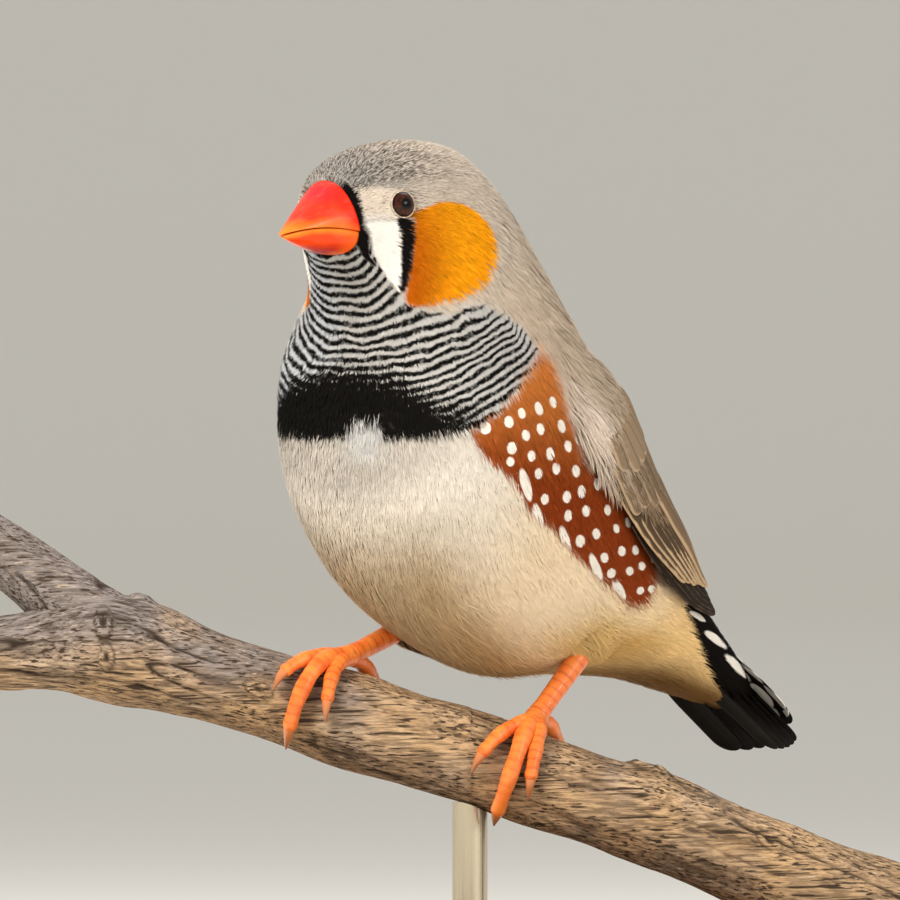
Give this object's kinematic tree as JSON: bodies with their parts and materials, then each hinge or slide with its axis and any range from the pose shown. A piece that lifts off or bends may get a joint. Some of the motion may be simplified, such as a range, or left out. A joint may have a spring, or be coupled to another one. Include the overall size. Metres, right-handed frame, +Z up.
{
  "type": "zebra finch figure",
  "caption": "Life-size male zebra finch perched on a cut length of forked branch, held over a plain round base by a slender rod.",
  "frame": {"origin": "centre of the underside of the stand's round base, on the floor", "axes": "-Y is the way the bird faces, +X is the bird's left, +Z is up"},
  "size_m": [0.0899, 0.0984, 0.0993],
  "materials": {
    "bill_lower": "satin horn, orange-red",
    "bill_upper": "satin horn, red",
    "claw_left_1": "satin horn",
    "claw_left_2": "satin horn",
    "claw_left_3": "satin horn",
    "claw_left_4": "satin horn",
    "claw_right_1": "satin horn",
    "claw_right_2": "satin horn",
    "claw_right_3": "satin horn",
    "claw_right_4": "satin horn",
    "eye_left": "wet gloss, dark red-brown",
    "eye_right": "wet gloss, dark red-brown",
    "foot_left": "scaled skin, orange",
    "foot_right": "scaled skin, orange",
    "head": "short matt feathers, grey with markings",
    "leg_left": "scaled skin, orange",
    "leg_right": "scaled skin, orange",
    "neck": "short matt feathers, grey, barred in front",
    "perch": "weathered bare wood",
    "stand_base": "satin stained hardwood",
    "stand_rod": "satin brass",
    "tail": "satin black feathers, coverts barred white",
    "torso": "soft matt feathers, white to buff below, grey-brown above",
    "wing_left": "satin flight feathers, grey-brown with pale edges",
    "wing_right": "satin flight feathers, grey-brown with pale edges"
  },
  "bodies": {
    "root": {"bill_lower": "bill_lower", "bill_upper": "bill_upper", "claw_left_1": "claw_left_1", "claw_left_2": "claw_left_2", "claw_left_3": "claw_left_3", "claw_left_4": "claw_left_4", "claw_right_1": "claw_right_1", "claw_right_2": "claw_right_2", "claw_right_3": "claw_right_3", "claw_right_4": "claw_right_4", "eye_left": "eye_left", "eye_right": "eye_right", "foot_left": "foot_left", "foot_right": "foot_right", "head": "head", "leg_left": "leg_left", "leg_right": "leg_right", "neck": "neck", "perch": "perch", "stand_base": "stand_base", "stand_rod": "stand_rod", "tail": "tail", "torso": "torso", "wing_left": "wing_left", "wing_right": "wing_right"}
  },
  "joints": []
}
